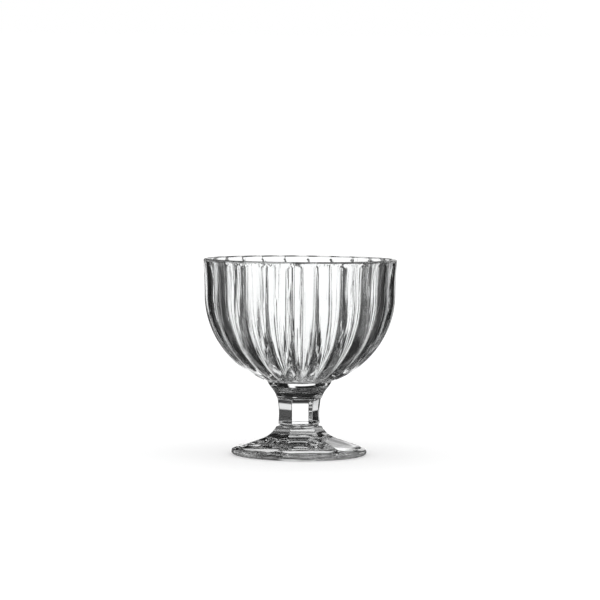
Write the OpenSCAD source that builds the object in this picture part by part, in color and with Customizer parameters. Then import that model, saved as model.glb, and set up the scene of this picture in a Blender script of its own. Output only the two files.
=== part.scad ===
// Footed ice cream glass of clear pressed glass: a fluted bowl, a six-sided
// stem and a spreading foot, fused face to face on one upright axis.
// The origin is on the surface that it stands on, under the middle of the foot.
// One flat of the stem faces -Y, and each corner of the stem lines up with a
// notch between two flutes of the bowl.

/* [Foot] */
// Widest radius of the round foot
foot_r = 36.65; // [34:0.05:42]
// Radius of the rounded edge of the foot
foot_edge_r = 1.65; // [1.2:0.05:2.2]
// Height of the foot's six-sided top, under the seam disc
foot_h = 15.1; // [13:0.1:20]
// Distance from the axis to a flat at the foot's six-sided top
foot_top_flat = 10.9; // [10.7:0.05:12]
// Distance from the axis to where the hollow above the foot's slope begins
slope_in = 17.5; // [16.5:0.1:19]
// Height of the slope there
slope_in_z = 8.75; // [8:0.05:10]
// Distance from the axis to where the slope starts to level out
slope_out = 25.5; // [24:0.1:27]
// Height of the slope there
slope_out_z = 5.6; // [5:0.05:6.2]
// Distance from the axis to where the flats run level
level_at = 34.3; // [33:0.1:35]
// Height of the flats there
level_z = 3.93; // [3.8:0.01:4.4]
// Radius of the hollow between the slope and the six-sided top
upper_hollow_r = 12; // [9:0.1:16]
// Radius of the hollow where the slope levels out
lower_hollow_r = 24; // [16:0.5:40]
// Fall of the round skirt outside the flats, in degrees
skirt_fall = 22.3; // [18:0.1:26]
// Radius inside which the flats alone shape the foot
skirt_in_r = 17; // [16.2:0.1:19]
// Inner radius of the ring that the foot stands on
bearing_in_r = 31.5; // [28:0.1:33]
// Height of the hollow under the foot at its middle
underside_h = 4; // [1:0.1:6]
// Radius of the disc at the seam between the foot and the stem
seam_r = 10.6; // [9.5:0.05:11.2]
// Height of that disc
seam_h = 1.5; // [0.8:0.1:2.5]

/* [Stem] */
// Height of the stem from the seam disc to the bowl
stem_h = 19.4; // [18:0.1:28]
// Distance from the axis to a flat at the stem's waist
waist_flat = 9.6; // [9:0.05:10.4]
// Height of the waist above the stem's lower end
waist_z = 5.4; // [4:0.1:7]
// Radius of the hollow along each flat
waist_hollow_r = 45; // [35:1:80]
// Radius of the round neck where it grows out of the stem
neck_r = 12.55; // [12.3:0.05:13.5]
// Height of that place above the stem's lower end
neck_z = 15.15; // [14:0.05:15.8]
// Radius of the rounded edge under the neck
neck_edge_r = 1.4; // [0.8:0.05:1.8]
// Radius of the neck where it meets the bowl
neck_top_r = 15.3; // [14.5:0.05:17]
// Radius of the hollow up the neck
neck_hollow_r = 18; // [10:0.5:40]

/* [Bowl] */
// Number of flutes round the bowl
flutes = 24; // [12:6:36]
// Radius over the flutes at the lip
lip_r = 52.2; // [50:0.1:58]
// Radius over the flutes at the top of the belly
belly_r = 51.3; // [49:0.1:55]
// Height of the belly's curve from its pole to its widest line
belly_h = 49.6; // [42:0.1:58]
// Height of the nearly straight wall over the belly
wall_h = 19.2; // [12:0.1:34]
// Depth of the notches between the flutes at the lip
flute_depth = 1.1; // [0.4:0.05:1.4]
// Radius of the circle on which the flutes end over the collar
flute_end_r = 21.5; // [20:0.1:25]
// Radius of the collar's upper edge
collar_r = 17.6; // [16.5:0.1:19]
// Height of the collar under the flutes
collar_h = 3.6; // [2.5:0.1:5]
// Thickness of the glass at the widest line of the belly, over a flute
belly_t = 3.9; // [3:0.1:6]
// Thickness of the glass at the lip, over a flute
lip_t = 3.2; // [2.8:0.1:4.5]
// Thickness of the glass at the bottom of the bowl, from the seam up
base_t = 5.2; // [4.8:0.1:9]
// Radius of the lip's outer rounding
lip_round = 0.8; // [0.4:0.05:1]
// Width of the lip's inner bevel
lip_bevel = 0.4; // [0.2:0.05:0.6]

/* [Hidden] */
$fn = 96;
dome_fn = 720;
glass_tint = [0.86, 0.9, 0.91];

// Length by which cuts and hidden fillings pass the face that they cross
overrun = 0.5;

// Sides and corners of the stem and the foot
sides = 6;
half_side = 180 / sides;

// Heights of the seams
stem_z = foot_h + seam_h;
bowl_z = stem_z + stem_h;

// The belly's outer curve is a quarter of an ellipse about this height
collar_turn = asin(collar_r / belly_r);
belly_z = bowl_z + collar_h + belly_h * cos(collar_turn);
top_z = belly_z + wall_h;

// Steps of the bowl's surface: up the belly, the wall and the lip, down the
// cavity, whose flat middle ends at a small turn, and across one flute
belly_steps = 14;
wall_steps = 2;
lip_steps = 3;
cavity_steps = 12;
last_turn = 5;
flute_steps = 6;

// Steps of the foot's surface, up its edge, up a flat and once round
edge_steps = 6;
flat_steps = 18;
foot_columns = 72;

// Centre of the circle of radius r through p and q, on the right of the way
// from p to q
function mid(p, q) = (p + q) / 2;
function across(p, q) = [q[1] - p[1], p[0] - q[0]] / norm(q - p);
function arc_centre(p, q, r) =
    mid(p, q) + across(p, q) * sqrt(r * r - pow(norm(q - p) / 2, 2));

// A number from 0 to 1 that rises smoothly as x goes from a to b
function rise(x, a, b) = let(u = min(1, max(0, (x - a) / (b - a)))) u * u * (3 - 2 * u);

// A closed solid from rows of points, each row once round, from the bottom up
module skin(points, row_count, column_count) {
    wall = [
        for (i = [0 : row_count - 2], j = [0 : column_count - 1])
            let(
                a = i * column_count + j,
                b = i * column_count + (j + 1) % column_count,
                c = a + column_count,
                d = b + column_count
            )
            each [[a, d, b], [a, c, d]]
    ];
    bottom = [for (j = [0 : column_count - 1]) j];
    top = [for (j = [column_count - 1 : -1 : 0]) (row_count - 1) * column_count + j];
    polyhedron(points = points, faces = concat([bottom], wall, [top]), convexity = 8);
}

// Keeps its child's outline between two opposite flats of the six and gives
// the solid that all three pairs of flats share
module six_flats(width) {
    intersection_for(k = [0 : sides / 2 - 1]) {
        rotate([0, 0, k * 2 * half_side])
            rotate([90, 0, 90])
                linear_extrude(height = width, center = true) children();
    }
}

// Foot

// The curve down a flat of the foot: a hollow under the six-sided top, a
// straight slope and a hollow that levels out before the edge
upper_centre = arc_centre([slope_in, slope_in_z], [foot_top_flat, foot_h], upper_hollow_r);
lower_centre = arc_centre([level_at, level_z], [slope_out, slope_out_z], lower_hollow_r);
function hollow_z(centre, r, x) = centre[1] - sqrt(r * r - pow(centre[0] - x, 2));
function flat_z(x) =
    x > slope_out ? hollow_z(lower_centre, lower_hollow_r, x)
    : x > slope_in ? slope_in_z + (slope_out_z - slope_in_z) * (x - slope_in) / (slope_out - slope_in)
    : hollow_z(upper_centre, upper_hollow_r, x);

// The round shape that the flats are cut into: a rounded edge and a skirt
edge_x = foot_r - foot_edge_r;
shoulder_x = edge_x + foot_edge_r * sin(skirt_fall);
shoulder_z = foot_edge_r * (1 + cos(skirt_fall));
function skirt_r(z) = max(skirt_in_r, shoulder_x - (z - shoulder_z) / tan(skirt_fall));

// Each row of the foot is its height, its round radius and its distance to a flat
edge_rows = [
    for (i = [0 : edge_steps])
        let(turn = (180 - skirt_fall) * i / edge_steps)
        [foot_edge_r * (1 - cos(turn)), edge_x + foot_edge_r * sin(turn), foot_r]
];
flat_rows = [
    for (i = [0 : flat_steps])
        let(x = level_at + (foot_top_flat - level_at) * i / flat_steps)
        [flat_z(x), skirt_r(flat_z(x)), x]
];
foot_rows = concat(edge_rows, flat_rows);

// Angle from the middle of the nearest flat; the corners are at 0, 60, 120 ...
function off_flat(turn) = abs(turn % (2 * half_side) - half_side);

module foot_skin() {
    points = [
        for (row = foot_rows, j = [0 : foot_columns - 1])
            let(
                turn = 360 * j / foot_columns,
                r = min(row[1], row[2] / cos(off_flat(turn)))
            )
            [r * cos(turn), r * sin(turn), row[0]]
    ];
    skin(points, len(foot_rows), foot_columns);
}

module foot_underside() {
    dome_r = (pow(bearing_in_r, 2) + pow(underside_h, 2)) / (2 * underside_h);
    rotate_extrude() intersection() {
        translate([0, underside_h - dome_r]) circle(r = dome_r, $fn = dome_fn);
        translate([0, -overrun]) square([foot_r, underside_h + 2 * overrun]);
    }
}

module foot() {
    color(glass_tint) {
        difference() {
            foot_skin();
            foot_underside();
        }
        translate([0, 0, foot_h]) cylinder(r = seam_r, h = seam_h);
    }
}

// Stem

module stem_flat_outline() {
    difference() {
        translate([-neck_top_r, 0]) square([2 * neck_top_r, stem_h]);
        for (side = [-1, 1]) {
            translate([side * (waist_flat + waist_hollow_r), waist_z]) circle(r = waist_hollow_r);
        }
    }
}

module neck() {
    low = [neck_r, neck_z];
    high = [neck_top_r, stem_h];
    rotate_extrude() {
        difference() {
            polygon([
                [0, neck_z - neck_edge_r],
                [neck_r - neck_edge_r, neck_z - neck_edge_r],
                [neck_r - neck_edge_r, neck_z],
                low,
                high,
                [0, stem_h]
            ]);
            translate(arc_centre(low, high, neck_hollow_r)) circle(r = neck_hollow_r);
        }
        translate([neck_r - neck_edge_r, neck_z]) intersection() {
            circle(r = neck_edge_r);
            translate([-neck_edge_r, -neck_edge_r]) square([2 * neck_edge_r, neck_edge_r]);
        }
    }
}

module stem() {
    color(glass_tint) translate([0, 0, stem_z]) {
        six_flats(2 * neck_top_r) stem_flat_outline();
        neck();
    }
}

// Bowl

// Each row of the bowl is its radius over the flutes, its height and the depth
// of the notches there. The rows run up the outside and down the inside.
function notch_depth(r) = flute_depth * r / lip_r * rise(r, collar_r, flute_end_r);
collar_row = [neck_top_r, bowl_z, 0];
belly_rows = [
    for (i = [0 : belly_steps])
        let(turn = collar_turn + (90 - collar_turn) * i / belly_steps, r = belly_r * sin(turn))
        [r, belly_z - belly_h * cos(turn), notch_depth(r)]
];
wall_rows = [
    for (i = [1 : wall_steps])
        let(u = i / wall_steps, r = belly_r + (lip_r - belly_r) * u)
        [r, belly_z + (wall_h - lip_round) * u, notch_depth(r)]
];
lip_rows = [
    for (i = [1 : lip_steps])
        let(turn = 90 * i / lip_steps, r = lip_r - lip_round * (1 - cos(turn)))
        [r, top_z - lip_round * (1 - sin(turn)), notch_depth(r)]
];

// The cavity is a quarter of a circle that widens to the mouth
cavity_r = belly_r - belly_t;
cavity_z = bowl_z + base_t + cavity_r;
mouth_r = lip_r - lip_t;
mouth_rows = [
    [mouth_r + lip_bevel, top_z, 0],
    [mouth_r, top_z - lip_bevel, 0]
];
cavity_rows = [
    for (i = [0 : cavity_steps])
        let(turn = 90 + (last_turn - 90) * i / cavity_steps)
        [cavity_r * sin(turn), cavity_z - cavity_r * cos(turn), 0]
];
rows = concat([collar_row], belly_rows, wall_rows, lip_rows, mouth_rows, cavity_rows);
columns = flutes * flute_steps;

// Across a flute the surface falls from its crest to the notches as a square
function notch_share(column) = pow(2 * (column % flute_steps) / flute_steps - 1, 2);

module bowl() {
    points = [
        for (row = rows, column = [0 : columns - 1])
            let(
                r = row[0] - row[2] * notch_share(column),
                turn = 360 * column / columns
            )
            [r * cos(turn), r * sin(turn), row[1]]
    ];
    color(glass_tint) skin(points, len(rows), columns);
}

bowl();
stem();
foot();
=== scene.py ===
"""Footed ice cream glass of clear pressed glass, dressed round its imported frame.

The bowl, the stem and the foot are closed surfaces worked out with numpy. They meet face to face, and
the faces that are fused on the real glass let light straight through. All lengths are in metres.
"""

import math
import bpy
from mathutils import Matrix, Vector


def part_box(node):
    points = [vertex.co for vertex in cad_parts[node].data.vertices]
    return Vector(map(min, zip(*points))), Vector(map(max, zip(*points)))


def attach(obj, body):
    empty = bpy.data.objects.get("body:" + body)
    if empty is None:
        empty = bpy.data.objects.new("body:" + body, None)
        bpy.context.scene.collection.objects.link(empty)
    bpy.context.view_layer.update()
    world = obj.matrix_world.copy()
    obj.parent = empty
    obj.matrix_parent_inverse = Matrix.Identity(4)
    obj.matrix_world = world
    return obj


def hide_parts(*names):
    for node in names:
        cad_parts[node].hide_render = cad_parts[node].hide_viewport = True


bl_info = {
    "name": "Footed ice cream glass",
    "version": (1, 0, 0),
    "blender": (4, 5, 0),
    "location": "View3D > Sidebar > Glass",
    "description": "Builds a fluted ice cream glass with a six-sided stem and foot",
    "category": "Add Mesh",
}

import bpy
import numpy as np
from bpy.props import FloatProperty, FloatVectorProperty, IntProperty, PointerProperty
from bpy.types import Operator, Panel, PropertyGroup
from mathutils import Matrix, Vector

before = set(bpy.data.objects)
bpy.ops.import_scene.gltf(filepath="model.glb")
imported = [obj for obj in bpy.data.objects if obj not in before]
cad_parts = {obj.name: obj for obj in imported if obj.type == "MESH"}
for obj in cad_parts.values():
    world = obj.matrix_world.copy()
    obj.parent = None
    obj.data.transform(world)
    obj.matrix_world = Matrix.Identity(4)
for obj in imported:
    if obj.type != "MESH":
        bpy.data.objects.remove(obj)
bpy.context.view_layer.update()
BOWL_LOW, BOWL_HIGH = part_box("bowl")
STEM_LOW, STEM_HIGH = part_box("stem")
FOOT_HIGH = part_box("foot")[1]
MM = 0.001
BODY = "root"


def length(name, text, value):
    """A length property in metres."""
    return FloatProperty(name=name, description=text, default=value, min=0.0, unit="LENGTH", precision=5)


def angle(name, text, value):
    """An angle property, given in degrees and kept in radians."""
    return FloatProperty(name=name, description=text, default=math.radians(value), subtype="ANGLE")


class GlassBowlSizes(PropertyGroup):
    """Sizes of the fluted bowl"""

    flutes: IntProperty(name="Flutes", description="Number of flutes round the bowl", default=24, min=3)
    lip_r: length("Lip radius", "Radius over the flutes at the lip", 52.15 * MM)
    belly_r: length("Belly radius", "Radius over the flutes at the top of the belly", 51.3 * MM)
    belly_h: length("Belly height", "Height of the belly's curve from its pole to its widest line", 49.6 * MM)
    wall_h: length("Wall height", "Height of the nearly straight wall over the belly", 19.2 * MM)
    flute_depth: length("Flute depth", "Depth of the hollow between two flutes", 1.3 * MM)
    groove: length("Groove", "Depth of the narrow groove at its bottom", 0.2 * MM)
    lip_groove: length("Groove at the lip", "Depth of that groove at the lip", 0.1 * MM)
    groove_w: length("Groove width", "Half the width of that groove", 0.45 * MM)
    flute_end_r: length("Flute end", "Radius of the circle on which the flutes end", 21.0 * MM)
    flute_low: FloatProperty(
        name="Lower depth",
        description="Share of a flute's depth that is left at its end",
        default=0.7,
        min=0.0,
        max=1.0,
    )
    flute_low_r: length("Full depth", "Radius from which the flutes have their full depth", 34.0 * MM)
    flute_end_step: length("Flute step", "Height of a flute's round end over the collar", 0.6 * MM)
    collar_r: length("Collar radius", "Radius of the collar's upper edge", 17.6 * MM)
    collar_h: length("Collar height", "Height of the collar under the flutes", 3.6 * MM)
    collar_bulge: length("Collar bulge", "How far the collar's middle stands over its cone", 0.15 * MM)
    belly_t: length("Belly wall", "Thickness of the glass at the widest line, over a flute", 4.1 * MM)
    lip_t: length("Lip wall", "Thickness of the glass at the lip, over a flute", 3.2 * MM)
    base_t: length("Base", "Thickness of the glass at the bottom of the bowl", 4.4 * MM)
    lip_round: length("Lip rounding", "Radius of the lip's outer rounding", 1.5 * MM)
    mouth_round: length("Mouth rounding", "Radius of the lip's inner rounding", 1.0 * MM)
    lip_band: length("Lip band", "Height of the smooth band over the flutes", 2.2 * MM)


class GlassStemSizes(PropertyGroup):
    """Sizes of the six-sided stem"""

    waist_flat: length("Waist", "Distance from the axis to a flat at the waist", 9.6 * MM)
    waist_z: length("Waist height", "Height of the waist over the stem's lower end", 5.4 * MM)
    waist_hollow_r: length("Waist hollow", "Radius of the hollow along each flat", 45.0 * MM)
    neck_r: length("Neck radius", "Radius of the round neck where it grows out of the stem", 12.55 * MM)
    neck_z: length("Neck height", "Height of that place over the stem's lower end", 15.15 * MM)
    neck_edge_r: length("Neck edge", "Radius of the rounded edge under the neck", 1.4 * MM)
    neck_top_r: length("Neck top", "Radius of the neck where it meets the bowl", 15.3 * MM)
    neck_hollow_r: length("Neck hollow", "Radius of the hollow up the neck", 18.0 * MM)
    lower_round: length("Lower rounding", "Radius of the rounding of the lower edge", 0.35 * MM)
    seam_r: length("Seam disc", "Radius of the disc at the seam with the foot", 10.6 * MM)


class GlassFootSizes(PropertyGroup):
    """Sizes of the spreading foot"""

    edge_r: length("Edge", "Radius of the rounded edge", 1.65 * MM)
    top_z: length("Top height", "Height of the six-sided top", 15.1 * MM)
    top_flat: length("Top flat", "Distance from the axis to a flat at the top", 10.9 * MM)
    slope_in: length("Slope start", "Distance from the axis to the slope's inner end", 17.5 * MM)
    slope_in_z: length("Slope start height", "Height of the slope's inner end", 8.75 * MM)
    slope_out: length("Slope end", "Distance from the axis to the slope's outer end", 25.5 * MM)
    slope_out_z: length("Slope end height", "Height of the slope's outer end", 5.6 * MM)
    level_at: length("Level", "Distance from the axis to where the flats run level", 34.3 * MM)
    level_z: length("Level height", "Height of the flats there", 3.93 * MM)
    upper_hollow_r: length("Upper hollow", "Radius of the hollow under the top", 12.0 * MM)
    lower_hollow_r: length("Lower hollow", "Radius of the hollow before the edge", 24.0 * MM)
    skirt_fall: angle("Skirt fall", "Fall of the round skirt outside the flats", 22.3)
    skirt_in_r: length("Skirt start", "Radius inside which the flats alone shape the foot", 17.0 * MM)
    bearing_in_r: length("Ring", "Inner radius of the ring that the foot stands on", 31.5 * MM)
    underside_h: length("Underside", "Height of the hollow under the foot", 4.4 * MM)


class GlassLook(PropertyGroup):
    """Colours of the glass and the stage"""

    tint: FloatVectorProperty(
        name="Glass", description="Tint of the glass", subtype="COLOR", default=(0.985, 0.992, 0.992), size=3
    )
    floor: FloatVectorProperty(
        name="Floor", description="Colour of the floor", subtype="COLOR", default=(0.86, 0.86, 0.86), size=3
    )
    floor_r: length("Floor radius", "Radius of the round floor", 3.0)
    floor_glow: FloatProperty(
        name="Floor glow",
        description="Brightness that the camera sees added to the floor",
        default=0.3,
        min=0.0,
    )


# Shapes

CREASE = math.radians(40)
SIDES = 6


def arc_centre(p, q, r):
    """Centre of the circle of radius r through p and q: from their middle, at a right angle to the way
    from p to q and to its left, by the root of r squared less half their distance squared."""
    p, q = np.array(p), np.array(q)
    way = q - p
    reach = np.hypot(*way)
    side = np.array([-way[1], way[0]]) / reach
    return (p + q) / 2 + side * math.sqrt(r * r - reach * reach / 4)


def rise(x, low, high):
    """0 below low and 1 above high, and between them 3 u squared less 2 u cubed of the share u."""
    u = np.clip((x - low) / (high - low), 0.0, 1.0)
    return u * u * (3 - 2 * u)


def hexagon(turn, sharpness):
    """Radius of a hexagon whose flats are 1 from the middle: 1 over the power mean of the cosines to its
    flats. Its corners are at 0, 60, 120 degrees, and are rounder with a lower power."""
    flats = np.radians(30 + 60 * np.arange(SIDES))
    cosines = np.clip(np.cos(turn[:, None] - flats[None, :]), 0.0, 1.0)
    return np.sum(cosines**sharpness, axis=1) ** (-1 / sharpness)


def crowded(parts, steps, pull):
    """Angles once round, with parts equal sectors of steps steps each, drawn towards the sectors' ends:
    the share u of a sector becomes u less pull times the sine of its turn over the turn."""
    u = np.arange(steps) / steps
    u = u - pull * np.sin(2 * math.pi * u) / (2 * math.pi)
    return ((np.arange(parts)[:, None] + u[None, :]) * 2 * math.pi / parts).ravel()


def revolved_mesh(name, radius, height, turn, low_pole, high_pole):
    """A closed mesh from a grid: point (i, j) is at radius[i, j], angle turn[j] and height[i, j]. The
    first row closes on low_pole and the last on high_pole, heights on the axis. Rows run so that the
    outside lies to the right of the way round and up."""
    rows, columns = radius.shape
    x, y = radius * np.cos(turn), radius * np.sin(turn)
    points = np.stack([x, y, height], axis=-1).reshape(-1, 3)
    points = np.concatenate([points, [[0, 0, low_pole], [0, 0, high_pole]]])
    index = np.arange(rows * columns).reshape(rows, columns)
    ahead = np.roll(index, -1, axis=1)
    quads = np.stack([index[:-1], ahead[:-1], ahead[1:], index[1:]], axis=-1).reshape(-1, 4)
    low = np.full(columns, rows * columns)
    first = np.stack([low, ahead[0], index[0]], axis=-1)
    last = np.stack([index[-1], ahead[-1], low + 1], axis=-1)
    corners = np.concatenate([quads.ravel(), first.ravel(), last.ravel()]).astype(np.int32)
    sizes = np.concatenate([np.full(len(quads), 4), np.full(2 * columns, 3)]).astype(np.int32)
    mesh = bpy.data.meshes.new(name)
    mesh.vertices.add(len(points))
    mesh.vertices.foreach_set("co", points.astype(np.float32).ravel())
    mesh.loops.add(len(corners))
    mesh.loops.foreach_set("vertex_index", corners)
    mesh.polygons.add(len(sizes))
    mesh.polygons.foreach_set("loop_start", np.concatenate([[0], np.cumsum(sizes)[:-1]]).astype(np.int32))
    mesh.polygons.foreach_set("use_smooth", np.ones(len(sizes), dtype=bool))
    mesh.update(calc_edges=True)
    mesh.validate()
    mesh.set_sharp_from_angle(angle=CREASE)
    return mesh


def face_rows(rows, columns):
    """The row of each face of a revolved mesh: its quads row by row, then -1 for the faces at the low
    pole and rows for those at the high pole."""
    quads = np.repeat(np.arange(rows - 1), columns)
    return np.concatenate([quads, np.full(columns, -1), np.full(columns, rows)])


def glass_piece(name, node, mesh, material, fused):
    """Puts the mesh in the scene as a piece of glass that replaces a node. fused is true for the faces
    that are fused to the next piece."""
    piece = bpy.data.objects.new(name, mesh)
    bpy.context.scene.collection.objects.link(piece)
    mesh.materials.append(material)
    mesh.materials.append(fused_joint())
    mesh.polygons.foreach_set("material_index", fused.astype(np.int32))
    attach(piece, BODY)
    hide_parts(node)


# Materials

GLASS_IOR = 1.52
RIPPLE_SCALE = 110.0
RIPPLE_DETAIL = 2
RIPPLE_SHARE = 0.05
STREAKS_DETAIL = 3
STREAKS_ROUND = 30.0
STREAKS_UP = 14.0
STREAKS_FROM = 19 * MM
STREAKS_FULL = 45 * MM
LINES_SCALE = 0.5
LINES_DETAIL = 0.5
LINE_WIDTH = 0.03
LINE_HEIGHT = 0.55
BUMP_HEIGHT = 50e-6


def maths(tree, operation, *values):
    """The output of a new maths node of a node tree. Each value is a number or another node's output."""
    node = tree.nodes.new("ShaderNodeMath")
    node.operation = operation
    for socket, value in zip(node.inputs, values):
        if isinstance(value, (int, float)):
            socket.default_value = value
        else:
            tree.links.new(value, socket)
    return node.outputs[0]


def ripple_group():
    """A group whose Height is a soft noise over the surface plus upright streaks and thin lines round the
    axis. The streaks are noise that changes quickly with the angle and slowly with the height. A line's
    height is e to the power of less the square of a slower noise's distance from a half, over a width."""
    name = "Mould ripple"
    if name in bpy.data.node_groups:
        return bpy.data.node_groups[name]
    group = bpy.data.node_groups.new(name, "ShaderNodeTree")
    for label, value in (("Scale", RIPPLE_SCALE), ("Ripple", 1.0), ("Streaks", 1.0)):
        socket = group.interface.new_socket(label, in_out="INPUT", socket_type="NodeSocketFloat")
        socket.default_value = value
    group.interface.new_socket("Height", in_out="OUTPUT", socket_type="NodeSocketFloat")
    nodes, links = group.nodes, group.links
    inside, outside = nodes.new("NodeGroupInput"), nodes.new("NodeGroupOutput")
    place = nodes.new("ShaderNodeTexCoord")

    soft = nodes.new("ShaderNodeTexNoise")
    soft.inputs["Detail"].default_value = RIPPLE_DETAIL
    links.new(place.outputs["Object"], soft.inputs["Vector"])
    links.new(inside.outputs["Scale"], soft.inputs["Scale"])

    # A point's place over the axis is brought to a circle of radius 1, so that only its angle counts
    flat = nodes.new("ShaderNodeVectorMath")
    flat.operation = "MULTIPLY"
    flat.inputs[1].default_value = (1, 1, 0)
    links.new(place.outputs["Object"], flat.inputs[0])
    ring = nodes.new("ShaderNodeVectorMath")
    ring.operation = "NORMALIZE"
    links.new(flat.outputs[0], ring.inputs[0])
    around = nodes.new("ShaderNodeVectorMath")
    around.operation = "SCALE"
    around.inputs["Scale"].default_value = STREAKS_ROUND
    links.new(ring.outputs[0], around.inputs[0])
    up = nodes.new("ShaderNodeVectorMath")
    up.operation = "MULTIPLY_ADD"
    up.inputs[1].default_value = (0, 0, STREAKS_UP)
    links.new(place.outputs["Object"], up.inputs[0])
    links.new(around.outputs[0], up.inputs[2])
    streaks = nodes.new("ShaderNodeTexNoise")
    streaks.inputs["Detail"].default_value = STREAKS_DETAIL
    streaks.inputs["Scale"].default_value = 1.0
    links.new(up.outputs[0], streaks.inputs["Vector"])

    # They fade towards the axis, where they would crowd together
    reach = nodes.new("ShaderNodeVectorMath")
    reach.operation = "LENGTH"
    links.new(flat.outputs[0], reach.inputs[0])
    fade = nodes.new("ShaderNodeMapRange")
    fade.interpolation_type = "SMOOTHSTEP"
    fade.inputs["From Min"].default_value = STREAKS_FROM
    fade.inputs["From Max"].default_value = STREAKS_FULL
    links.new(reach.outputs["Value"], fade.inputs["Value"])

    # Thin upright lines stand where a slower noise passes its middle value
    slow = nodes.new("ShaderNodeTexNoise")
    slow.inputs["Detail"].default_value = LINES_DETAIL
    slow.inputs["Scale"].default_value = LINES_SCALE
    links.new(up.outputs[0], slow.inputs["Vector"])
    off = maths(group, "MULTIPLY_ADD", slow.outputs["Fac"], 1 / LINE_WIDTH, -0.5 / LINE_WIDTH)
    line = maths(group, "POWER", math.exp(-1), maths(group, "MULTIPLY", off, off))
    upright = maths(group, "MULTIPLY_ADD", line, LINE_HEIGHT, streaks.outputs["Fac"])
    faded = maths(group, "MULTIPLY", upright, fade.outputs["Result"])
    rippled = maths(group, "MULTIPLY", soft.outputs["Fac"], inside.outputs["Ripple"])
    streaked = maths(group, "MULTIPLY", faded, inside.outputs["Streaks"])
    links.new(maths(group, "ADD", rippled, streaked), outside.inputs["Height"])
    return group


def pressed_glass(look, name, ripple, streaks):
    """Clear glass with the faint ripple and the upright streaks that a mould leaves."""
    if name in bpy.data.materials:
        return bpy.data.materials[name]
    material = bpy.data.materials.new(name)
    material.use_nodes = True
    nodes, links = material.node_tree.nodes, material.node_tree.links
    shader = nodes["Principled BSDF"]
    shader.inputs["Base Color"].default_value = (*look.tint, 1)
    shader.inputs["Roughness"].default_value = 0.0
    shader.inputs["IOR"].default_value = GLASS_IOR
    shader.inputs["Transmission Weight"].default_value = 1.0
    marks = nodes.new("ShaderNodeGroup")
    marks.node_tree = ripple_group()
    marks.inputs["Ripple"].default_value = ripple
    marks.inputs["Streaks"].default_value = streaks
    bump = nodes.new("ShaderNodeBump")
    bump.inputs["Strength"].default_value = 1.0
    bump.inputs["Distance"].default_value = BUMP_HEIGHT
    links.new(marks.outputs["Height"], bump.inputs["Height"])
    links.new(bump.outputs["Normal"], shader.inputs["Normal"])
    return material


def fused_joint():
    """The face between two pieces that are fused: light goes straight through it."""
    name = "Fused joint"
    if name in bpy.data.materials:
        return bpy.data.materials[name]
    material = bpy.data.materials.new(name)
    material.use_nodes = True
    nodes, links = material.node_tree.nodes, material.node_tree.links
    nodes.remove(nodes["Principled BSDF"])
    clear = nodes.new("ShaderNodeBsdfTransparent")
    links.new(clear.outputs[0], nodes["Material Output"].inputs["Surface"])
    return material


# Pieces

# Points round each flute and each of the six sides, and how far they are drawn towards its ends
FLUTE_STEPS = 24
FLUTE_PULL = 0.85
SIDE_STEPS = 48
SIDE_PULL = 0.6
SIDE_SHARPNESS = 90.0
# Rows of points up each part of the outline
COLLAR_ROWS = 8
LOW_BELLY_ROWS = 24
BELLY_ROWS = 40
WALL_ROWS = 16
LIP_BAND_ROWS = 14
LIP_ROUND_ROWS = 8
CONE_ROWS = 14
DIP_ROWS = 44
STEM_ROWS = 40
NECK_EDGE_ROWS = 24
NECK_ROWS = 30
LOWER_ROUND_ROWS = 7
DOME_ROWS = 30
EDGE_ROWS = 26
FLAT_ROWS = 70
# The belly's lean at which its rows grow wider apart, and the share of the wall where they close up
LOW_BELLY_LEAN = math.radians(30)
LIP_BAND_FROM = 0.8
# The share of a flute's depth that is lost at the lip, and where that starts and ends in lip bands
LIP_FADE = 0.4
LIP_FADE_FROM = 1.6
LIP_FADE_TO = 0.6
# How much nearer to the axis a crest ends than a notch, half the width of that end, and the width of
# the step's other side
FLUTE_END_LAG = 1.2 * MM
FLUTE_END_HALF = 0.5 * MM
FLUTE_STEP_W = 1.5 * MM
# The angle round the neck's edge at which its rows start
NECK_EDGE_FROM = 0.05


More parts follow.
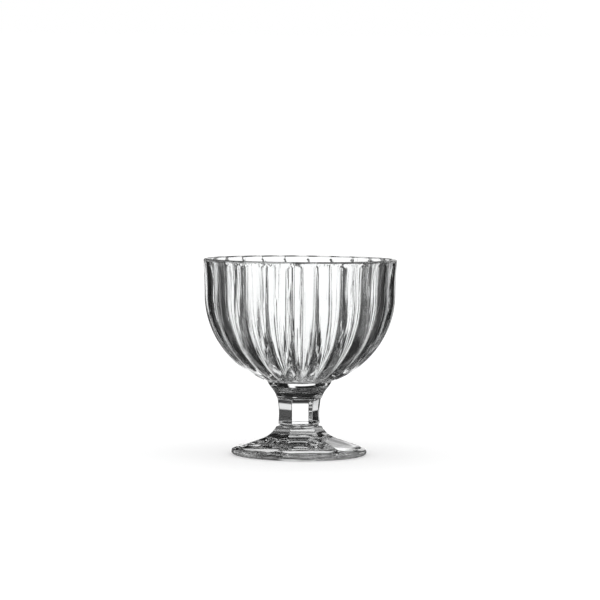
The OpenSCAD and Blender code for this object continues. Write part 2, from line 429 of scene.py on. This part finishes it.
class GLASS_OT_bowl(Operator):
    """Builds the fluted bowl: its collar, flutes, lip and inside"""

    bl_idname = "glass.bowl"
    bl_label = "Bowl"

    def execute(self, context):
        s = context.scene.glass_bowl
        neck_r = context.scene.glass_stem.neck_top_r
        base_z = BOWL_LOW[2]
        top_z = BOWL_HIGH[2]
        belly_z = top_z - s.wall_h
        turn = crowded(s.flutes, FLUTE_STEPS, FLUTE_PULL)
        share = (turn * s.flutes / (2 * math.pi)) % 1.0
        from_notch = 1 - np.abs(2 * share - 1)
        notch = (1 - from_notch) ** 2
        ones = np.ones_like(turn)

        def flute_at(r, groove):
            """Depth under the crests: the flute's depth times the square of the share of the way from a
            crest to the next notch, plus a groove at the notch. The groove is its depth times e to the power
            of less the square of the arc from the notch over the groove's width."""
            arc = from_notch * math.pi * r / s.flutes
            return s.flute_depth * notch + groove * np.exp(-((arc / s.groove_w) ** 2))

        # Collar: a cone from the neck up, plus its bulge times the sine of half a turn of the share
        u = np.linspace(0, 1, COLLAR_ROWS)[:, None]
        collar_r = neck_r + (s.collar_r - neck_r) * u + s.collar_bulge * np.sin(math.pi * u)
        collar_z = base_z + s.collar_h * u
        # Belly: an ellipse over the crests, from the collar to the widest line. Its radius is the belly's
        # times the sine of the lean, and its depth under that line the belly's height times the cosine.
        # Each point then moves in along its lean by the flute's depth there.
        start = math.asin(s.collar_r / s.belly_r)
        lean = np.concatenate([
            np.linspace(start, LOW_BELLY_LEAN, LOW_BELLY_ROWS)[:-1],
            np.linspace(LOW_BELLY_LEAN, math.pi / 2, BELLY_ROWS),
        ])[:, None]
        belly_r = s.belly_r * np.sin(lean)
        belly_z_rows = belly_z - s.belly_h * np.cos(lean)
        end = s.flute_end_r - FLUTE_END_LAG * (1 - notch)
        grown = rise(belly_r, end - FLUTE_END_HALF, end + FLUTE_END_HALF)
        sink = s.flute_end_step * (1 - grown) * rise(belly_r, s.collar_r, s.collar_r + FLUTE_STEP_W)
        low_share = s.flute_low + (1 - s.flute_low) * rise(belly_r, s.flute_end_r, s.flute_low_r)
        inward = flute_at(belly_r, s.groove) * low_share * grown + sink
        belly_out_r = belly_r - inward * np.sin(lean)
        belly_out_z = belly_z_rows + inward * np.cos(lean)
        # Wall: it widens to the lip by the square of the share of its height, less the flute's depth
        v = np.concatenate([
            np.linspace(0, LIP_BAND_FROM, WALL_ROWS)[1:],
            np.linspace(LIP_BAND_FROM, 1, LIP_BAND_ROWS)[1:],
        ])[:, None]
        wall_r = s.belly_r + (s.lip_r - s.belly_r) * v**2
        wall_z = belly_z + (s.wall_h - s.lip_round) * v
        fade_from, fade_to = top_z - LIP_FADE_FROM * s.lip_band, top_z - LIP_FADE_TO * s.lip_band
        faded = 1 - LIP_FADE * rise(wall_z, fade_from, fade_to)
        groove = s.groove + (s.lip_groove - s.groove) * rise(wall_z, belly_z, top_z - s.lip_band)
        wall_out_r = wall_r - flute_at(wall_r, groove) * faded
        # Lip: a quarter circle outside, a flat and a quarter circle inside
        roll = np.linspace(0, math.pi / 2, LIP_ROUND_ROWS)[1:, None]
        lip_r = wall_out_r[-1] - s.lip_round * (1 - np.cos(roll))
        lip_z = top_z - s.lip_round * (1 - np.sin(roll))
        mouth_r = s.lip_r - s.lip_t
        inner_r = mouth_r + s.mouth_round * (1 - np.sin(roll))
        inner_z = top_z - s.mouth_round * (1 - np.cos(roll))
        # Inside: it narrows from the mouth by the square of the share of the height that is left, and
        # runs on upright into the cavity's quarter circle
        cavity_r = s.belly_r - s.belly_t
        cavity_z = base_z + s.base_t + cavity_r
        w = np.linspace(0, 1, CONE_ROWS)[1:, None]
        cone_r = cavity_r + (mouth_r - cavity_r) * (1 - w) ** 2
        cone_z = (top_z - s.mouth_round) + (cavity_z - top_z + s.mouth_round) * w
        dip = np.linspace(math.pi / 2, 0, DIP_ROWS)[1:-1, None]
        dip_r = cavity_r * np.sin(dip)
        dip_z = cavity_z - cavity_r * np.cos(dip)

        out_r = np.concatenate([collar_r * ones, belly_out_r[1:], wall_out_r, lip_r])
        out_z = np.concatenate([collar_z * ones, belly_out_z[1:], wall_z * ones, lip_z * ones])
        in_r = np.concatenate([inner_r, cone_r, dip_r]) * ones
        in_z = np.concatenate([inner_z, cone_z, dip_z]) * ones
        radius = np.concatenate([out_r, in_r])
        height = np.concatenate([out_z, in_z])
        mesh = revolved_mesh("bowl_glass", radius, height, turn, base_z, cavity_z - cavity_r)
        fused = face_rows(*radius.shape) == -1
        material = pressed_glass(context.scene.glass_look, "Fluted glass", RIPPLE_SHARE, 1.0)
        glass_piece("bowl_glass", "bowl", mesh, material, fused)
        return {"FINISHED"}


class GLASS_OT_stem(Operator):
    """Builds the six-sided stem with its round neck"""

    bl_idname = "glass.stem"
    bl_label = "Stem"

    def execute(self, context):
        s = context.scene.glass_stem
        low, high = STEM_LOW[2], STEM_HIGH[2]
        turn = crowded(SIDES, SIDE_STEPS, SIDE_PULL)
        ring = hexagon(turn, SIDE_SHARPNESS)

        def flat_at(z):
            """Distance to a flat: the waist plus the rise of a circle beside it."""
            return s.waist_flat + s.waist_hollow_r - np.sqrt(s.waist_hollow_r**2 - (z - low - s.waist_z) ** 2)

        neck_low, neck_high = (s.neck_r, s.neck_z + low), (s.neck_top_r, high)
        centre = arc_centre(neck_high, neck_low, s.neck_hollow_r)

        def neck_at(z):
            """Radius of the neck: a hollow arc over its rounded lower edge, and none below that."""
            arc = centre[0] - np.sqrt(np.maximum(s.neck_hollow_r**2 - (z - centre[1]) ** 2, 0.0))
            drop = np.clip((s.neck_z + low - z) / s.neck_edge_r, 0.0, 1.0)
            edge = s.neck_r - s.neck_edge_r * (1 - np.sqrt(1 - drop**2))
            edge = np.where(drop >= 1, 0.0, edge)
            return np.where(z >= s.neck_z + low, arc, edge)

        round_r = s.lower_round
        edge_z = s.neck_z + low - s.neck_edge_r
        bend = np.linspace(NECK_EDGE_FROM, math.pi / 2, NECK_EDGE_ROWS)
        z = np.concatenate([
            np.linspace(low + round_r, edge_z, STEM_ROWS),
            edge_z + s.neck_edge_r * (1 - np.cos(bend)),
            np.linspace(s.neck_z + low, high, NECK_ROWS)[1:],
        ])[:, None]
        # Side: the greater of the flat's distance times the hexagon's radius and the neck's radius
        side = np.maximum(flat_at(z) * ring, neck_at(z))
        # Lower edge: a quarter circle, down to the seam's outline
        outline = flat_at(np.array([[low]])) * ring
        seam = np.minimum(outline - round_r, s.seam_r)
        roll = np.linspace(0, math.pi / 2, LOWER_ROUND_ROWS)[:-1, None]
        edge_r = outline - round_r + round_r * np.sin(roll)
        edge_r[0] = seam
        edge_zs = low + round_r * (1 - np.cos(roll)) * np.ones_like(ring)
        radius = np.concatenate([edge_r, side])
        height = np.concatenate([edge_zs, z * np.ones_like(ring)])
        mesh = revolved_mesh("stem_glass", radius, height, turn, low, high)
        rows = face_rows(*radius.shape)
        fused = (rows == -1) | (rows == len(radius))
        material = pressed_glass(context.scene.glass_look, "Pressed glass", RIPPLE_SHARE, 0.0)
        glass_piece("stem_glass", "stem", mesh, material, fused)
        return {"FINISHED"}


class GLASS_OT_foot(Operator):
    """Builds the spreading foot with its six flats and its seam disc"""

    bl_idname = "glass.foot"
    bl_label = "Foot"

    def execute(self, context):
        s = context.scene.glass_foot
        stem = context.scene.glass_stem
        foot_r = FOOT_HIGH[0]
        seam_z = FOOT_HIGH[2]
        turn = crowded(SIDES, SIDE_STEPS, SIDE_PULL)
        ring = hexagon(turn, SIDE_SHARPNESS)
        upper = arc_centre((s.top_flat, s.top_z), (s.slope_in, s.slope_in_z), s.upper_hollow_r)
        lower = arc_centre((s.slope_out, s.slope_out_z), (s.level_at, s.level_z), s.lower_hollow_r)

        def flat_z(x):
            """Height down a flat: a hollow, a straight slope and a hollow, by the distance x."""
            slope = (s.slope_out_z - s.slope_in_z) / (s.slope_out - s.slope_in)
            high_arc = upper[1] - np.sqrt(np.maximum(s.upper_hollow_r**2 - (upper[0] - x) ** 2, 0.0))
            low_arc = lower[1] - np.sqrt(np.maximum(s.lower_hollow_r**2 - (lower[0] - x) ** 2, 0.0))
            middle = s.slope_in_z + slope * (x - s.slope_in)
            return np.where(x > s.slope_out, low_arc, np.where(x > s.slope_in, middle, high_arc))

        edge_x = foot_r - s.edge_r
        shoulder_x = edge_x + s.edge_r * math.sin(s.skirt_fall)
        shoulder_z = s.edge_r * (1 + math.cos(s.skirt_fall))

        def skirt_r(z):
            """Radius of the round skirt at a height: a cone, and straight inside its inner radius."""
            return np.maximum(s.skirt_in_r, shoulder_x - (z - shoulder_z) / math.tan(s.skirt_fall))

        # Underside: a dome, which is part of the ball through its top and the ring that the foot stands on
        dome_r = (s.bearing_in_r**2 + s.underside_h**2) / (2 * s.underside_h)
        x = np.linspace(0, s.bearing_in_r, DOME_ROWS)[1:, None]
        dome_z = s.underside_h - dome_r + np.sqrt(dome_r**2 - x**2)
        # Edge: part of a circle, from the floor round to the skirt
        roll = np.linspace(0, math.pi - s.skirt_fall, EDGE_ROWS)[:, None]
        edge_r = edge_x + s.edge_r * np.sin(roll)
        edge_z = s.edge_r * (1 - np.cos(roll))
        # Flats: the lesser of the skirt's radius and the flat's distance times the hexagon's radius
        x_flat = np.linspace(s.level_at, s.top_flat, FLAT_ROWS)[:, None]
        z_flat = flat_z(x_flat)
        flats = np.minimum(skirt_r(z_flat), x_flat * ring)
        # Top: the six-sided face, the seam disc's side and its rim
        outline = stem_outline(stem, turn)
        seam = np.minimum(outline, stem.seam_r)
        disc = stem.seam_r * np.ones_like(turn)
        top_r = np.stack([disc, disc, seam])
        top_z = np.stack([s.top_z + 0 * turn, seam_z + 0 * turn, seam_z + 0 * turn])

        ones = np.ones_like(turn)
        radius = np.concatenate([x * ones, edge_r * ones, flats, top_r])
        height = np.concatenate([dome_z * ones, edge_z * ones, z_flat * ones, top_z])
        mesh = revolved_mesh("foot_glass", radius, height, turn, s.underside_h, seam_z)
        fused = face_rows(*radius.shape) == len(radius)
        material = pressed_glass(context.scene.glass_look, "Pressed glass", RIPPLE_SHARE, 0.0)
        glass_piece("foot_glass", "foot", mesh, material, fused)
        return {"FINISHED"}


def stem_outline(stem, turn):
    """The stem's rounded lower outline: its six-sided ring less the edge's rounding."""
    flat = stem.waist_flat + stem.waist_hollow_r - math.sqrt(stem.waist_hollow_r**2 - stem.waist_z**2)
    return flat * hexagon(turn, SIDE_SHARPNESS) - stem.lower_round


# Stage

PICTURE_SIZE = 600
SENSOR = 36.0
CAMERA_TURN = 9.9
CAMERA_DISTANCE = 1.449
CAMERA_HEIGHT = 0.1573
CAMERA_PITCH = 2.93
CAMERA_ROLL = 0.45
FOCAL_PIXELS = 2700
NEAR_CLIP = 0.01
FLOOR_SIDES = 96
FLOOR_ROUGHNESS = 0.9
BOUNCES = 32
GLOSSY_BOUNCES = 24
ROOM_LIGHT = 0.008

BOX_SIZES = ("Middle", "Half width", "Low", "High", "Edge")
# Each box of light in degrees: its middle from the camera's way of looking, its half width, its lower and
# upper end over the horizon and its soft edge; and its light. The brightest of the boxes at a place counts.
SOFT_BOXES = (
    (-3, 15.7, -22, 3.2, 2, 1.15),
    (8, 3.6, -23.3, 18.2, 3, 1.15),
    (-42, 3.2, -2, 35.8, 2, 1.03),
    (38, 2, -1.3, 4.9, 2, 0.84),
    (42, 10.2, 9.2, 19.7, 2, 1.15),
    (-59, 4.8, -32.9, -4, 1.5, 0.02),
    (-37, 9, -33.3, -5.6, 3, 0.02),
    (3, 23, -36.8, -2.2, 3, 0.02),
    (184, 106, -45, 3, 5, 0.65),
    (-133, 9, 21.9, 28, 5, 1.15),
    (-25, 2, 51, 93.2, 4, 1.15),
    (46, 38, -46.2, -11.3, 5, 0.02),
    (-69, 8.6, 15.3, 49.4, 5, 1.15),
    (204, 13.5, -64.1, -15.6, 5, 1.02),
    (-56, 18.2, -46.6, -17.9, 5, 0.02),
    (-14, 14.6, -70.2, -26.3, 5, 0.92),
    (0, 180, -95, -50, 6, 0.15),
)


class GLASS_OT_stage(Operator):
    """Sets the camera, the floor, the soft lights and the world"""

    bl_idname = "glass.stage"
    bl_label = "Stage"

    def execute(self, context):
        scene = context.scene
        add_camera(scene)
        add_floor(scene)
        add_world(scene)
        scene.view_settings.view_transform = "Standard"
        scene.cycles.max_bounces = BOUNCES
        scene.cycles.transmission_bounces = BOUNCES
        scene.cycles.glossy_bounces = GLOSSY_BOUNCES
        scene.cycles.transparent_max_bounces = BOUNCES
        return {"FINISHED"}


def add_camera(scene):
    """The camera stands in front and a little above the lip, turned so that it sees the glass as the
    photograph does."""
    camera = bpy.data.objects.new("Camera", bpy.data.cameras.new("Camera"))
    scene.collection.objects.link(camera)
    camera.data.sensor_width = SENSOR
    camera.data.lens = SENSOR * FOCAL_PIXELS / PICTURE_SIZE
    camera.data.clip_start = NEAR_CLIP
    turn = math.radians(CAMERA_TURN)
    spot = Vector((-math.sin(turn), -math.cos(turn), 0)) * CAMERA_DISTANCE
    spot.z = CAMERA_HEIGHT
    look = (
        Matrix.Translation(spot)
        @ Matrix.Rotation(-turn, 4, "Z")
        @ Matrix.Rotation(math.radians(90 - CAMERA_PITCH), 4, "X")
        @ Matrix.Rotation(math.radians(CAMERA_ROLL), 4, "Z")
    )
    camera.matrix_world = look
    scene.camera = camera


def add_floor(scene):
    """A wide round floor that keeps the glass's shadow. The camera sees it as white as the background.
    Light that comes through the glass or off it shows the studio's soft boxes in place of the floor."""
    look = scene.glass_look
    turn = np.arange(FLOOR_SIDES) * 2 * math.pi / FLOOR_SIDES
    ring = np.stack([np.cos(turn), np.sin(turn), 0 * turn], axis=-1) * look.floor_r
    mesh = bpy.data.meshes.new("floor")
    mesh.from_pydata(ring.tolist(), [], [list(range(FLOOR_SIDES))])
    floor = bpy.data.objects.new("floor", mesh)
    scene.collection.objects.link(floor)
    material = bpy.data.materials.new("Pale floor")
    material.use_nodes = True
    tree = material.node_tree
    nodes, links = tree.nodes, tree.links
    shader = nodes["Principled BSDF"]
    shader.inputs["Base Color"].default_value = (*look.floor, 1)
    shader.inputs["Roughness"].default_value = FLOOR_ROUGHNESS
    path = nodes.new("ShaderNodeLightPath")
    shader.inputs["Emission Color"].default_value = (1, 1, 1, 1)
    glow = maths(tree, "MULTIPLY", path.outputs["Is Camera Ray"], look.floor_glow)
    links.new(glow, shader.inputs["Emission Strength"])
    through = maths(tree, "MAXIMUM", path.outputs["Is Transmission Ray"], path.outputs["Is Glossy Ray"])
    clear = nodes.new("ShaderNodeBsdfTransparent")
    mix = nodes.new("ShaderNodeMixShader")
    links.new(through, mix.inputs[0])
    links.new(shader.outputs[0], mix.inputs[1])
    links.new(clear.outputs[0], mix.inputs[2])
    links.new(mix.outputs[0], nodes["Material Output"].inputs["Surface"])
    mesh.materials.append(material)


def soft_box_group():
    """A group whose Mask is 1 inside a box of directions and falls smoothly to 0 over its Edge. The box
    is given in degrees: Middle and Half width round the horizon, Low and High above it."""
    group = bpy.data.node_groups.new("Soft box", "ShaderNodeTree")
    for name in ("Turn", "Height", *BOX_SIZES):
        group.interface.new_socket(name, in_out="INPUT", socket_type="NodeSocketFloat")
    group.interface.new_socket("Mask", in_out="OUTPUT", socket_type="NodeSocketFloat")
    nodes, links = group.nodes, group.links
    inside, outside = nodes.new("NodeGroupInput"), nodes.new("NodeGroupOutput")

    def step(distance):
        """0 at half an edge outside, 1 at half an edge inside, and smooth between them."""
        node = nodes.new("ShaderNodeMapRange")
        node.interpolation_type = "SMOOTHSTEP"
        half = maths(group, "MULTIPLY", inside.outputs["Edge"], 0.5)
        links.new(distance, node.inputs["Value"])
        links.new(maths(group, "MULTIPLY", half, -1), node.inputs["From Min"])
        links.new(half, node.inputs["From Max"])
        return node.outputs["Result"]

    # The turn from the middle, brought to between -180 and 180 degrees
    apart = maths(group, "SUBTRACT", inside.outputs["Turn"], inside.outputs["Middle"])
    apart = maths(group, "WRAP", apart, 180, -180)
    across = maths(group, "SUBTRACT", inside.outputs["Half width"], maths(group, "ABSOLUTE", apart))
    over = maths(group, "SUBTRACT", inside.outputs["Height"], inside.outputs["Low"])
    under = maths(group, "SUBTRACT", inside.outputs["High"], inside.outputs["Height"])
    upright = maths(group, "MULTIPLY", step(over), step(under))
    links.new(maths(group, "MULTIPLY", step(across), upright), outside.inputs["Mask"])
    return group


def add_world(scene):
    """A studio of soft boxes in a dark room, as the glass shows it: a white backdrop behind the glass, dim
    cards beside and below it, a bright wall round the camera's side and small boxes higher up. The camera
    and the floor see plain white."""
    world = bpy.data.worlds.new("Studio")
    scene.world = world
    world.use_nodes = True
    tree = world.node_tree
    nodes, links = tree.nodes, tree.links
    background = nodes["Background"]

    place = nodes.new("ShaderNodeTexCoord")
    split = nodes.new("ShaderNodeSeparateXYZ")
    links.new(place.outputs["Generated"], split.inputs[0])
    x, y, z = split.outputs
    to_degrees = 180 / math.pi
    turn = maths(tree, "MULTIPLY_ADD", maths(tree, "ARCTAN2", x, y), to_degrees, -CAMERA_TURN)
    height = maths(tree, "MULTIPLY", maths(tree, "ARCSINE", z), to_degrees)
    group = soft_box_group()
    total = ROOM_LIGHT
    for *sizes, light in SOFT_BOXES:
        box = nodes.new("ShaderNodeGroup")
        box.node_tree = group
        links.new(turn, box.inputs["Turn"])
        links.new(height, box.inputs["Height"])
        for name, value in zip(BOX_SIZES, sizes):
            box.inputs[name].default_value = value
        total = maths(tree, "MAXIMUM", total, maths(tree, "MULTIPLY", box.outputs["Mask"], light))
    path = nodes.new("ShaderNodeLightPath")
    plain = maths(tree, "MAXIMUM", path.outputs["Is Camera Ray"], path.outputs["Is Diffuse Ray"])
    links.new(maths(tree, "MAXIMUM", total, plain), background.inputs["Color"])
    background.inputs["Strength"].default_value = 1.0


class GLASS_PT_panel(Panel):
    """Lists the pieces of the glass and its stage"""

    bl_idname = "GLASS_PT_panel"
    bl_label = "Ice cream glass"
    bl_space_type = "VIEW_3D"
    bl_region_type = "UI"
    bl_category = "Glass"

    def draw(self, context):
        for operator in OPERATORS:
            self.layout.operator(operator.bl_idname)


OPERATORS = (GLASS_OT_bowl, GLASS_OT_stem, GLASS_OT_foot, GLASS_OT_stage)
GROUPS = (
    ("glass_bowl", GlassBowlSizes),
    ("glass_stem", GlassStemSizes),
    ("glass_foot", GlassFootSizes),
    ("glass_look", GlassLook),
)


def register():
    """Registers the groups, the operators and the panel."""
    for name, group in GROUPS:
        bpy.utils.register_class(group)
        setattr(bpy.types.Scene, name, PointerProperty(type=group))
    for item in (*OPERATORS, GLASS_PT_panel):
        bpy.utils.register_class(item)


def unregister():
    """Takes back what register added."""
    for item in reversed((*OPERATORS, GLASS_PT_panel)):
        bpy.utils.unregister_class(item)
    for name, group in reversed(GROUPS):
        delattr(bpy.types.Scene, name)
        bpy.utils.unregister_class(group)


def main():
    """Builds the whole scene."""
    register()
    bpy.ops.glass.bowl()
    bpy.ops.glass.stem()
    bpy.ops.glass.foot()
    bpy.ops.glass.stage()


if __name__ == "__main__":
    main()
